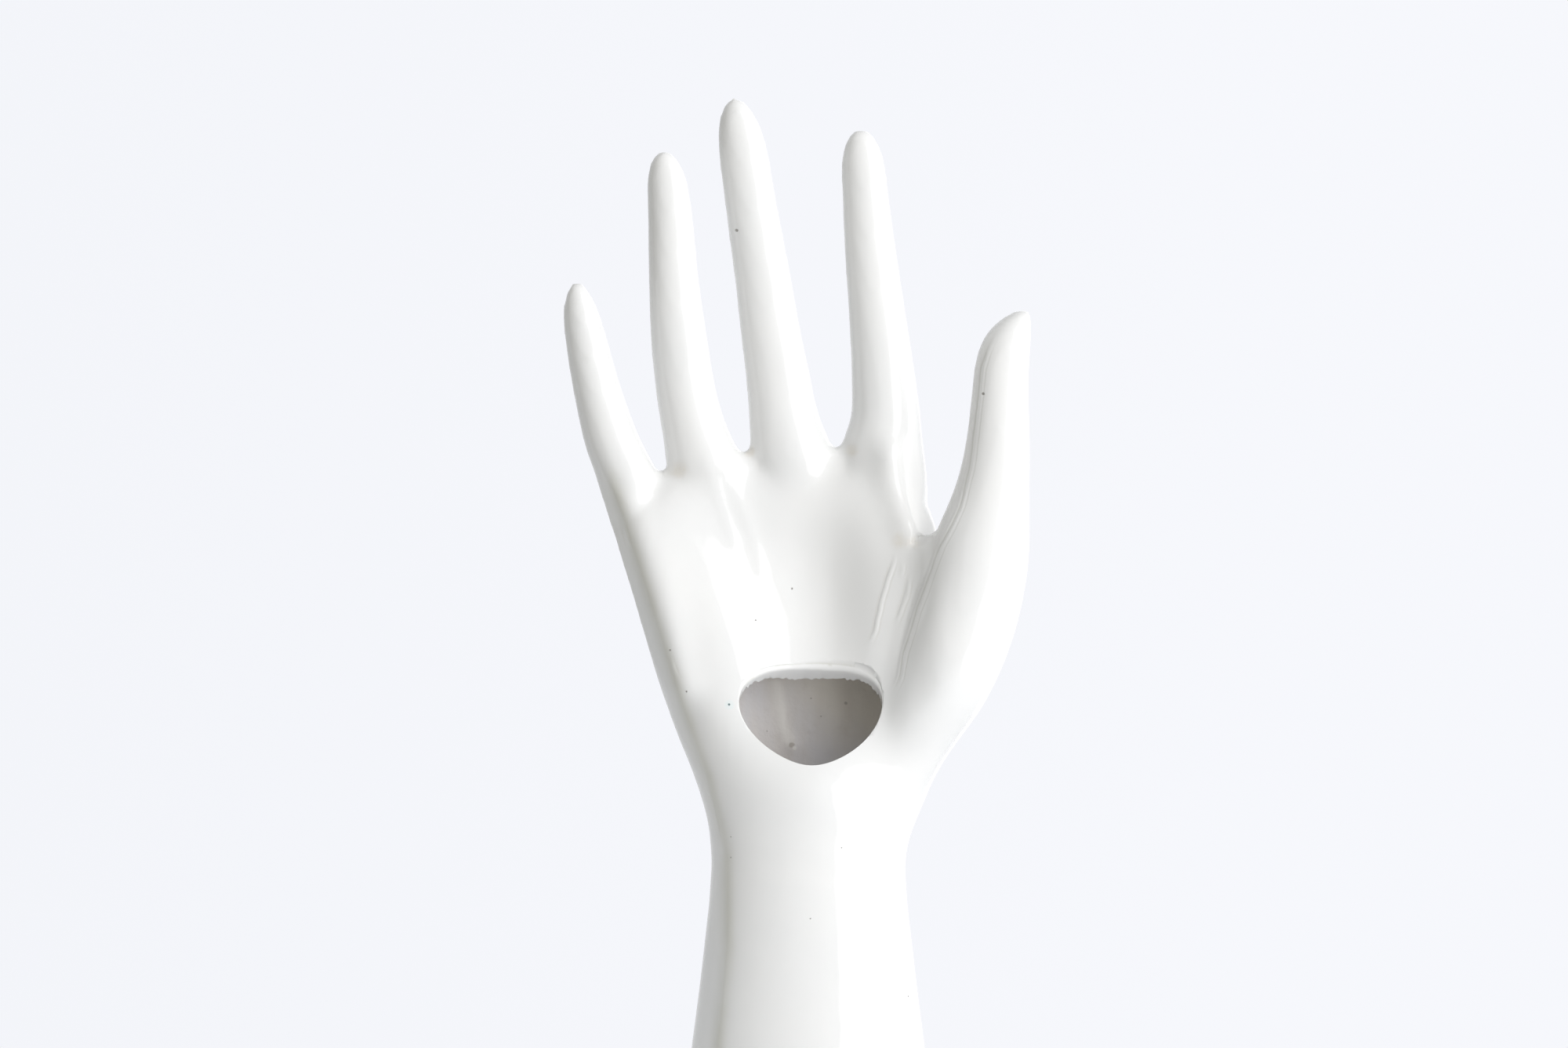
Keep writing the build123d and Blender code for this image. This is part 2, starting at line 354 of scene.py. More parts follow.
def crease_round(co):
    """Tightest round allowed at each vertex: small in the webs, larger in the palm and the heel."""
    x, y, z = co.T
    palm_side = ramp(-y, 1.0 * MM, 5.0 * MM)
    webs = ramp(z, 200 * MM, 210 * MM) * (1 - palm_side)
    above_roots = ramp(z, 216 * MM, 222 * MM)
    round_here = blend(PALM_ROUND, WEB_ROUND, np.maximum(webs, above_roots))
    thumb_side = ramp(x, 12 * MM, 22 * MM) * ramp(z, 146 * MM, 156 * MM)
    thumb_side *= 1 - ramp(z, 196 * MM, 204 * MM)
    round_here = blend(round_here, THUMB_CREASE_ROUND, thumb_side)
    thumb_web = ramp(x, 22 * MM, 28 * MM) * ramp(z, 186 * MM, 192 * MM)
    round_here = blend(round_here, THUMB_WEB_ROUND, thumb_web)
    little_web = ramp(z, 200 * MM, 204 * MM) * (1 - ramp(x, -31 * MM, -28 * MM))
    round_here = blend(round_here, LITTLE_WEB_ROUND, little_web)
    round_here = blend(HEEL_ROUND, round_here, ramp(z, 138 * MM, 150 * MM))
    return np.where(inside, HOLLOW_ROUND, round_here)


def side_at(seam, z):
    """How far to the side a seam lies at each height."""
    line = np.array(seam)[::-1] * MM
    return np.interp(z, line[:, 1], line[:, 0])


def line_gap(points, co):
    """Distance from a line in the front view in millimetres, above zero on its +X side."""
    line = np.array(points, float) * MM
    best = np.full(len(co), 1.0)
    for a, b in zip(line[:-1], line[1:]):
        along = b - a
        away = co[:, [0, 2]] - a
        share = np.clip(away @ along / (along @ along), 0, 1)
        rest = away - share[:, None] * along
        gap = np.linalg.norm(rest, axis=1)
        side = np.sign(along[0] * away[:, 1] - along[1] * away[:, 0])
        closer = gap < np.abs(best)
        best = np.where(closer, gap * np.where(side == 0, 1, side), best)
    return best / MM


def between_ends(points, co, fade):
    """1 along a line of the front view, falling off to 0 at its ends, over a fade in millimetres."""
    share = np.ones(len(co))
    for end in (points[0], points[-1]):
        share *= ramp(np.linalg.norm(co[:, [0, 2]] / MM - np.array(end), axis=1), 2.4, 2.4 + fade)
    return share


def hump(co, side, height, side_spread, height_spread):
    """1 at a place of the front view, falling off softly round it."""
    x, y, z = co.T / MM
    return np.exp(-((x - side) / side_spread) ** 2 - ((z - height) / height_spread) ** 2)


def along_line(points, width):
    """1 along a line of the front view, falling off softly over a width in millimetres."""
    return np.exp(-((line_gap(points, surface.co) / width) ** 2))


# Mouth: filled for the smoothing, and then cut again with a clean edge

tilt = math.radians(MOUTH_TILT)
mouth_axis = np.array([0.0, math.cos(tilt), -math.sin(tilt)])
mouth_up = np.array([0.0, math.sin(tilt), math.cos(tilt)])


def mouth_place(co):
    """Across, up and along the cutter's axis from the middle of the mouth, and the cutter's share."""
    away = co - np.array(MOUTH_MIDDLE)
    across, up, along = away[:, 0], away @ mouth_up, away @ mouth_axis
    reach = np.hypot(across / MOUTH_HALF_WIDTH, up / np.where(up > 0, MOUTH_RISE, MOUTH_DROP))
    return across, up, along, reach


def bent_sheet(known, heights, wanted):
    """Heights of a thin bent plate through known points of the plane, at wanted points."""
    def pull(a, b):
        gap = np.linalg.norm(a[:, None] - b[None], axis=2)
        return gap**2 * np.log(gap + 1e-12)
    count = len(known)
    flat = np.column_stack([np.ones(count), known])
    system = np.zeros((count + 3, count + 3))
    system[:count, :count] = pull(known, known)
    system[:count, count:] = flat
    system[count:, :count] = flat.T
    answer = np.linalg.lstsq(system, np.concatenate([heights, np.zeros(3)]), rcond=None)[0]
    slope = np.column_stack([np.ones(len(wanted)), wanted]) @ answer[count:]
    return pull(wanted, known) @ answer[:count] + slope


def mouth_walls(places, triangles):
    """Sheets over the mouth that carry on the outer and the inner face of the wall round it."""
    corner = places[triangles]
    facing = np.cross(corner[:, 1] - corner[:, 0], corner[:, 2] - corner[:, 0]) @ mouth_axis
    across, up, along, reach = mouth_place(corner.mean(1))
    ring = (reach > 1.0) & (reach < 1.16) & (along > MOUTH_START) & (along < MOUTH_REACH)
    for side in (-1, 1):
        chosen = np.nonzero(ring & (facing * side > 0))[0]
        chosen = chosen[:: max(1, len(chosen) // MOUTH_RING_POINTS)]
        known = np.column_stack([across[chosen], up[chosen]]) / MOUTH_HALF_WIDTH
        yield side, known, along[chosen] / MOUTH_HALF_WIDTH


def mouth_outline(turn, size):
    """Across and up on the mouth's outline at a turn from its right end."""
    up = np.sin(turn) * np.where(np.sin(turn) > 0, MOUTH_RISE, MOUTH_DROP)
    return np.column_stack([np.cos(turn) * MOUTH_HALF_WIDTH, up]) * size


def mouth_fill(places, triangles):
    """The skin's triangles without the mouth's cut band, with both faces of the wall closed over it."""
    across, up, along, reach = mouth_place(places)
    near = (along > MOUTH_START) & (along < MOUTH_REACH + 1 * MM)
    on_cut = near & (np.abs(reach - 1) < 0.004)
    kept = triangles[~on_cut[triangles].all(1)]
    grid_places, grid_faces, count = [], [], len(places)
    turn = 2 * math.pi * np.arange(MOUTH_SPOKES) / MOUTH_SPOKES
    plane = [np.zeros((1, 2))]
    for step in range(1, MOUTH_RINGS + 1):
        plane.append(mouth_outline(turn, 1.03 * step / MOUTH_RINGS))
    plane = np.concatenate(plane)
    for side, known, heights in mouth_walls(places, kept):
        along = bent_sheet(known, heights, plane / MOUTH_HALF_WIDTH) * MOUTH_HALF_WIDTH
        faces = disc_faces(MOUTH_RINGS, MOUTH_SPOKES)
        grid_places.append(mouth_point(plane, along))
        grid_faces.append((faces[:, ::-1] if side > 0 else faces) + count)
        count += len(plane)
    return np.concatenate([places, *grid_places]), np.concatenate([kept, *grid_faces])


def mouth_point(plane, along):
    """Places of the part's frame from across, up and along."""
    place = np.array(MOUTH_MIDDLE) + plane[:, :1] * np.array([1.0, 0, 0])
    return place + plane[:, 1:] * mouth_up + along[:, None] * mouth_axis


def disc_faces(rings, spokes):
    """Triangles of a disc whose points are its middle and then its rings from the inside out."""
    faces = []
    for spoke in range(spokes):
        after = (spoke + 1) % spokes
        faces.append((0, 1 + spoke, 1 + after))
        for ring in range(rings - 1):
            low, high = 1 + ring * spokes, 1 + (ring + 1) * spokes
            faces.append((low + spoke, high + spoke, high + after))
            faces.append((low + spoke, high + after, low + after))
    return np.array(faces)


def wander(turn, seed, waves):
    """An even random line round the mouth, from -1 to 1."""
    random = np.random.default_rng(seed)
    total, weight = np.zeros_like(turn), 0.0
    for wave in waves:
        total += np.sin(wave * turn + random.uniform(0, 2 * math.pi)) * random.uniform(0.6, 1.0)
        weight += 1.0
    return np.clip(total / math.sqrt(weight), -1, 1)


def cut_outline(turn):
    """Across and up on the edge of the cut, and its outward directions."""
    low = np.clip(-np.sin(turn), 0, None)
    across = CUT_SHIFT + np.cos(turn) * MOUTH_HALF_WIDTH * (1 - CUT_TAPER_SHARE * low**2)
    plane = np.column_stack([across, np.sin(turn) * np.where(low > 0, CUT_DROP, CUT_RISE)])
    along = np.roll(plane, -1, axis=0) - np.roll(plane, 1, axis=0)
    outward = np.column_stack([along[:, 1], -along[:, 0]])
    return plane, outward / np.linalg.norm(outward, axis=1, keepdims=True)


def mouth_cutter(places, triangles):
    """Cutter of the mouth: it flares into a rounded lip outside and chips the edge inside."""
    turn = 2 * math.pi * np.arange(MOUTH_SIDES) / MOUTH_SIDES
    plane, outward = cut_outline(turn)
    faces_at = {}
    for side, known, heights in mouth_walls(places, triangles):
        faces_at[side] = bent_sheet(known, heights, plane / MOUTH_HALF_WIDTH) * MOUTH_HALF_WIDTH
    outer, inner = faces_at[-1], faces_at[1]
    lip = blend(MOUTH_LIP, MOUTH_TOP_LIP, ramp(np.sin(turn), 0.1, 0.7))
    lip *= 1 + 0.2 * wander(turn, 3, (2, 3, 5))
    chip = 0.5 + 0.5 * wander(turn, 11, (9, 14, 23, 31, 47, 58, 74))
    rows = [(outer - 6 * MM, lip * 1.35), (outer - 1.2 * MM, lip * 1.15)]
    for degrees in (78, 62, 46, 30, 15, 0):
        lean = math.radians(degrees)
        rows.append((outer + lip * (1 - math.sin(lean)), lip * (1 - math.cos(lean))))
    edge = inner - (0.25 * MM + MOUTH_CHIP * chip)
    rows.append(((outer + inner) / 2, 0.02 * MM * wander(turn, 5, (17, 29, 41))))
    rows.append((edge, 0.05 * MM * chip))
    rows.append((edge + 0.25 * MM, 0.35 * MM + 0.25 * MM * chip))
    rows.append((inner + 3 * MM, 0.75 * MM + 0.2 * MM * chip))
    points = []
    for along, out in rows:
        wider = plane + outward * np.broadcast_to(out, turn.shape)[:, None]
        points.append(mouth_point(wider, along))
    points = np.concatenate(points)
    count = MOUTH_SIDES
    faces = [tuple(range(count)), tuple(range(len(points) - 1, len(points) - 1 - count, -1))]
    for row in range(len(rows) - 1):
        for side in range(count):
            after = (side + 1) % count
            low = row * count
            faces.append((low + after, low + side, low + side + count, low + after + count))
    mesh = bpy.data.meshes.new("mouth_cutter")
    mesh.from_pydata(points.tolist(), [], faces)
    mesh.update()
    return bpy.data.objects.new("mouth_cutter", mesh)


def ball(middle, radius):
    """Corner places and triangles of a round ball."""
    shape = bmesh.new()
    bmesh.ops.create_icosphere(shape, subdivisions=3, radius=radius)
    places = np.array([corner.co for corner in shape.verts]) + np.array(middle)
    triangles = np.array([[corner.index for corner in face.verts] for face in shape.faces])
    shape.free()
    return places, triangles


def web_balls():
    """Balls that draw the wide web into a U and fill the corner between the palm and the thumb."""
    arc = WIDE_WEB_OPEN + WIDE_WEB_THICK
    side, depth, height = WIDE_WEB_MIDDLE
    for degrees in range(196, 346, 6):
        turn = math.radians(degrees)
        yield (side + arc * math.cos(turn), depth, height + arc * math.sin(turn)), WIDE_WEB_THICK
    for *middle, radius in THUMB_WEB_BALLS:
        yield middle, radius


def joined(pieces):
    """One set of places and triangles from several."""
    places, triangles, count = [], [], 0
    for piece_places, piece_triangles in pieces:
        places.append(piece_places)
        triangles.append(piece_triangles + count)
        count += len(piece_places)
    return np.concatenate(places), np.concatenate(triangles)


skin_nodes = [part["node"] for part in frame["record"]["subparts"] if part["node"] != "base_disc"]
clay = [mouth_fill(*cad_triangles(skin_nodes))]
for middle, radius in web_balls():
    clay.append(ball([value * MM for value in middle], radius * MM))
places, triangles = joined(clay)
source = new_mesh("skin_source", places, triangles)
skin_mesh = remeshed(source, VOXEL)
skin_mesh.name = "glazed_skin"
surface = Surface(skin_mesh)
surface.smooth(NOISE_PASSES)

# The inside is what can be reached from the hollow without crossing the foot.
foot_ring = surface.co[:, 2] < FOOT_EDGE
wall_point = np.array([0.0, 15.0 * MM, 90.0 * MM])
start = np.argmin(np.linalg.norm(surface.co - wall_point, axis=1))
inside = surface.reach(start, ~foot_ring)

surface.fill_creases(crease_round, FILL_PASSES, FILL_RATE, VOXEL)
x, y, z = surface.co.T
outside = np.where(inside, 0.0, 1.0)
front = ramp(-surface.normals()[:, 1], 0.15, 0.5) * outside

# The palm is one smooth dish: its bones don't show, and it climbs towards the thumb.
palm_dish = ramp(z, 146 * MM, 160 * MM) * (1 - ramp(z, 203 * MM, 211 * MM))
palm_dish *= ramp(x, -36 * MM, -26 * MM) * (1 - ramp(x, 26 * MM, 33 * MM)) * front
surface.soften(surface.blurred(palm_dish, SOFT_EDGE_PASSES), PALM_PASSES)
thumb_root = ramp(z, 104 * MM, 114 * MM) * (1 - ramp(z, 138 * MM, 152 * MM)) * ramp(x, 2 * MM, 12 * MM)
surface.soften(surface.blurred(thumb_root * outside, SOFT_EDGE_PASSES), THUMB_ROOT_PASSES)
finger_roots = ramp(z, 196 * MM, 202 * MM) * (1 - ramp(z, 212 * MM, 222 * MM)) * front
surface.soften(surface.blurred(finger_roots, 4), FINGER_ROOT_PASSES, SOFT_STEP_OUT)
x, y, z = surface.co.T / MM
dish = DISH_DEPTH * hump(surface.co, *DISH_PLACE, *DISH_SPREAD)
seam = side_at(THUMB_SIDE_SEAM, z * MM) / MM
shelf = SHELF_RISE * ramp(x, -29, -4) + SHELF_START + SHELF_THUMB_RISE * ramp(x, 5, 19)
dish -= shelf * (1 - ramp(x, seam - 10, seam + 3)) * ramp(z, 148, 168) * (1 - ramp(z, 196, 212))
for run in PALM_RUNS:
    dish -= PALM_RUN_RISE * along_line(run, PALM_RUN_WIDTH)
dish -= INDEX_RIDGE_RISE * along_line(INDEX_RIDGE, INDEX_RIDGE_WIDTH)
dish -= LITTLE_SIDE_RIDGE_RISE * along_line(LITTLE_SIDE_RIDGE, LITTLE_SIDE_RIDGE_WIDTH)
surface.co[:, 1] += dish * MM * front
root_edge = ROOT_EDGE_DEPTH * hump(surface.co, *ROOT_EDGE_PLACE, *ROOT_EDGE_SPREAD)
root_edge = root_edge * ramp(surface.co[:, 1], -13 * MM, -9 * MM) * outside
surface.co[:, 0] -= root_edge * MM
from_swell = (surface.co / MM - np.array(SWELL_PLACE)) / np.array(SWELL_SPREAD)
swell = SWELL_RISE * np.exp(-np.sum(from_swell**2, axis=1))
surface.co[:, 0] += swell * MM * outside
surface.smooth(FINAL_PASSES)


# Mould seam on the little finger's side: the back half of the casting turns away a little beyond it

def seam_crease(seam):
    """Draws the surface in beyond a seam, on its back side, with a slight corner at the seam."""
    normal = surface.normals()
    x, y, z = surface.co.T
    sides = side_at(seam, z)
    left = (normal[:, 0] < 0) & (x < 0) & ~inside
    beyond = np.clip(sides - x, 0, None)
    seam_depth = np.zeros(surface.count)
    for low in np.arange(0, SEAM_TOP, SEAM_ROW):
        row = (z >= low) & (z < low + SEAM_ROW)
        near = row & left & (y < SEAM_FRONT) & (np.abs(x - sides) < SEAM_SEARCH)
        if near.any():
            seam_depth[row] = y[near].mean()
    gap = np.hypot(beyond, np.clip(y - seam_depth, 0, None))
    pull = np.where(left & (x < sides), SEAM_TURN_SHARE * gap * np.exp(-gap / SEAM_WIDTH), 0)
    fade = 1 - ramp(z, 200 * MM, 216 * MM)
    surface.co -= normal * (pull * fade)[:, None]


seam_crease(LITTLE_SIDE_SEAM)
surface.smooth(1)


# Glaze streak and drip on the back wall of the hollow

normal = surface.normals()
back_wall = inside & (normal[:, 1] < -0.3) & (surface.co[:, 1] > 0)
streak = along_line(INNER_STREAK, STREAK_WIDTH)
drip = hump(surface.co, *INNER_DRIP, DRIP_WIDTH, DRIP_WIDTH)
surface.co += normal * np.where(back_wall, STREAK_RISE * streak + DRIP_RISE * drip, 0)[:, None] * MM

surface.co[:, 2] = np.clip(surface.co[:, 2], 0.0, HAND_HEIGHT)
surface.store()


# Values that the materials read at each vertex

hollow = surface.blurred(surface.hollowness(), 3)
stains = sum(hump(surface.co, side, height, radius, radius) for side, height, radius in POOLS)
in_creases = 0.3 * ramp(hollow, 0.02 * MM, 0.05 * MM) * outside
surface.attribute("pool", np.clip(stains, 0, 1) * front + in_creases)
surface.attribute("inside", surface.blurred(inside.astype(float), 2))
surface.attribute("front", surface.blurred(ramp(-surface.normals()[:, 1], -0.05, 0.15), 1))


def store_line(points, name, near_name, reach, fade):
    """Stores the distance from a line in millimetres, and where the line is near enough to show."""
    gap = line_gap(points, surface.co)
    surface.attribute(name, np.clip(gap, -4, 4))
    near = (1 - ramp(np.abs(gap), reach, reach + 0.8)) * between_ends(points, surface.co, fade)
    surface.attribute(near_name, near)


store_line(THUMB_SIDE_SEAM, "thumb_seam", "thumb_seam_near", 1.8, 8)
for number, run in enumerate(GLAZE_RUNS):
    store_line(run, "glaze_run_%d" % number, "glaze_run_near_%d" % number, 1.6, 4.5)
# Painted shade: an olive dark line along the little finger's side seam, where that side turns away from
# the light
painted_side_shade = np.exp(-((line_gap(LITTLE_SIDE_SEAM, surface.co) - 0.3) / 1.7) ** 2)
surface.attribute("side_painted_shade", painted_side_shade * (1 - ramp(z, 204, 214)) * outside)
surface.attribute("streak", along_line(INNER_STREAK, 1.7))
skin_places, skin_triangles = surface.co, surface.quads[:, :3]


# Mouth cut through the skin

blank = bpy.data.objects.new("skin_blank", skin_mesh)
bpy.context.scene.collection.objects.link(blank)
cutter = mouth_cutter(skin_places, skin_triangles)
bpy.context.scene.collection.objects.link(cutter)
cut = blank.modifiers.new("mouth", "BOOLEAN")
cut.operation = "DIFFERENCE"
cut.solver = "EXACT"
cut.object = cutter
graph = bpy.context.evaluated_depsgraph_get()
skin_mesh = bpy.data.meshes.new_from_object(blank.evaluated_get(graph))
skin_mesh.name = "glazed_skin"
bpy.data.objects.remove(blank)
bpy.data.objects.remove(cutter)

# The cut band of the mouth is glazed like the outside, up to its chipped inner edge.
places = np.empty(len(skin_mesh.vertices) * 3)
skin_mesh.vertices.foreach_get("co", places)
across, up, along, reach = mouth_place(places.reshape(-1, 3))
near = (reach > 0.6) & (reach < 1.12) & (along > MOUTH_START) & (along < MOUTH_REACH)
plane = np.column_stack([across[near], up[near]]) / MOUTH_HALF_WIDTH
for side, known, heights in mouth_walls(skin_places, skin_triangles):
    if side > 0:
        inner_along = bent_sheet(known, heights, plane) * MOUTH_HALF_WIDTH
glazed = np.zeros(len(skin_mesh.vertices), bool)
glazed[np.nonzero(near)[0]] = along[near] < inner_along - 0.12 * MM
for name in ("inside", "pool", "streak"):
    layer = skin_mesh.attributes[name].data
    values = np.empty(len(skin_mesh.vertices), np.float32)
    layer.foreach_get("value", values)
    layer.foreach_set("value", np.where(glazed, 0, values).astype(np.float32))

skin = bpy.data.objects.new("glazed_skin", skin_mesh)
bpy.context.scene.collection.objects.link(skin)
skin_mesh.polygons.foreach_set("use_smooth", [True] * len(skin_mesh.polygons))
skin_mesh.set_sharp_from_angle(angle=math.radians(SHARP_ANGLE))


# Materials

GLAZE_WHITE = (0.865, 0.865, 0.858)
GLAZE_CLOUD = (0.845, 0.848, 0.845)
POOL_TAN = (0.765, 0.72, 0.645)
# Olive of the painted shade along the little finger's side
SIDE_PAINTED_SHADE = (0.62, 0.615, 0.545)
RUN_PALE = (0.88, 0.885, 0.865)
RUN_EDGE = (0.66, 0.64, 0.57)
SEAM_GREY = (0.52, 0.52, 0.47)
SPECK_DARK = (0.16, 0.14, 0.11)
HALO_BLUE = (0.60, 0.86, 0.88)
SPECK_BLUE = (0.03, 0.10, 0.11)
HOLLOW_COOL = (0.83, 0.82, 0.84)
# Warm tan of the hollow, painted lighter as painted light
HOLLOW_WARM_PAINTED_LIGHT = (0.97, 0.93, 0.86)
HOLLOW_TAN = (0.76, 0.70, 0.63)
HOLLOW_DIRT = (0.58, 0.52, 0.47)
HOLLOW_SPECK = (0.20, 0.17, 0.15)
STREAK_PALE = (0.97, 0.95, 0.91)
# Painted shade and painted highlight of the drip in the hollow
DRIP_PAINTED_SHADE = (0.30, 0.26, 0.21)
DRIP_PAINTED_HIGHLIGHT = (0.99, 0.97, 0.93)
CLAY_DARK = (0.66, 0.60, 0.52)
CLAY_PALE = (0.79, 0.74, 0.66)
CLAY_GREY = (0.74, 0.69, 0.61)
CLAY_GRIT = (0.80, 0.76, 0.69)
CLAY_IRON = (0.30, 0.20, 0.13)
GLAZE_IOR = 1.53


def node(tree, kind, place, **values):
    """A shader node with some of its inputs and settings."""
    made = tree.nodes.new(kind)
    made.location = place
    for key, value in values.items():
        if key in made.inputs:
            made.inputs[key].default_value = value
        else:
            setattr(made, key, value)
    return made


class Nodes:
    """Short calls that add nodes to a material's tree and join them."""

    def __init__(self, name):
        self.material = bpy.data.materials.new(name)
        self.material.use_nodes = True
        self.tree = self.material.node_tree
        self.tree.nodes.clear()
        self.column = 0

    def add(self, kind, **values):
        """A node in the next free place of the tree."""
        self.column += 1
        return node(self.tree, kind, (180 * (self.column % 12), -220 * (self.column // 12)), **values)

    def join(self, source, target):
        """Links an output to an input, or sets the input where the source is a number or a colour."""
        if isinstance(source, (int, float)):
            target.default_value = source
        elif isinstance(source, tuple):
            target.default_value = (*source, 1)
        else:
            self.tree.links.new(source, target)

    def math(self, operation, a, b=0.0):
        made = self.add("ShaderNodeMath", operation=operation)
        self.join(a, made.inputs[0])
        self.join(b, made.inputs[1])
        return made.outputs[0]

    def times(self, a, b):
        return self.math("MULTIPLY", a, b)

    def stored(self, name):
        return self.add("ShaderNodeAttribute", attribute_name=name).outputs["Fac"]

    def ramp(self, value, low, high, start=0.0, end=1.0):
        made = self.add("ShaderNodeMapRange", interpolation_type="SMOOTHSTEP")
        self.join(value, made.inputs["Value"])
        for key, number in (("From Min", low), ("From Max", high), ("To Min", start), ("To Max", end)):
            made.inputs[key].default_value = number
        return made.outputs["Result"]

    def near(self, value, middle, full, gone, most=1.0):
        """The most where a value lies near a middle, and 0 from a distance on."""
        away = self.math("ABSOLUTE", self.math("SUBTRACT", value, middle))
        return self.ramp(away, full, gone, most, 0.0)

    def noise(self, where, scale, detail=2.0, rough=0.5, stretch=(1, 1, 1)):
        placed = self.add("ShaderNodeVectorMath", operation="MULTIPLY")
        self.join(where, placed.inputs[0])
        placed.inputs[1].default_value = stretch
        made = self.add("ShaderNodeTexNoise")
        self.join(placed.outputs[0], made.inputs["Vector"])
        made.inputs["Scale"].default_value = scale
        made.inputs["Detail"].default_value = detail
        made.inputs["Roughness"].default_value = rough
        return made.outputs["Fac"]

    def mix(self, share, low, high):
        made = self.add("ShaderNodeMix", data_type="RGBA")
        self.join(share, made.inputs[0])
        self.join(low, made.inputs[6])
        self.join(high, made.inputs[7])
        return made.outputs[2]

    def tinted(self, colour, share, strength, tint):
        """A colour that goes over to a tint by a share of the strength."""
        return self.mix(self.times(share, strength), colour, tint)

    def spots(self, where, spots):
        """1 in small round spots of the front view, given by side, height and radius in millimetres."""
        found = 0.0
        for side, height, radius in spots:
            away = self.add("ShaderNodeVectorMath", operation="DISTANCE")
            self.join(where, away.inputs[0])
            away.inputs[1].default_value = (side * MM, 0, height * MM)
            spot = self.ramp(away.outputs["Value"], radius * 0.55 * MM, radius * 1.2 * MM, 1.0, 0.0)
            found = self.math("MAXIMUM", found, spot)
        return found

    def bump(self, height):
        """Bump from a height in millimetres."""
        made = self.add("ShaderNodeBump")
        made.inputs["Strength"].default_value = 1.0
        made.inputs["Distance"].default_value = MM
        self.join(height, made.inputs["Height"])
        return made.outputs["Normal"]

    def shader(self, colour, rough, relief):
        """Gives the material its surface and returns the shader node."""
        surface_node = self.add("ShaderNodeBsdfPrincipled")
        self.join(colour, surface_node.inputs["Base Color"])
        self.join(rough, surface_node.inputs["Roughness"])
        self.join(self.bump(relief), surface_node.inputs["Normal"])
        out = self.add("ShaderNodeOutputMaterial")
        self.join(surface_node.outputs["BSDF"], out.inputs["Surface"])
        return surface_node


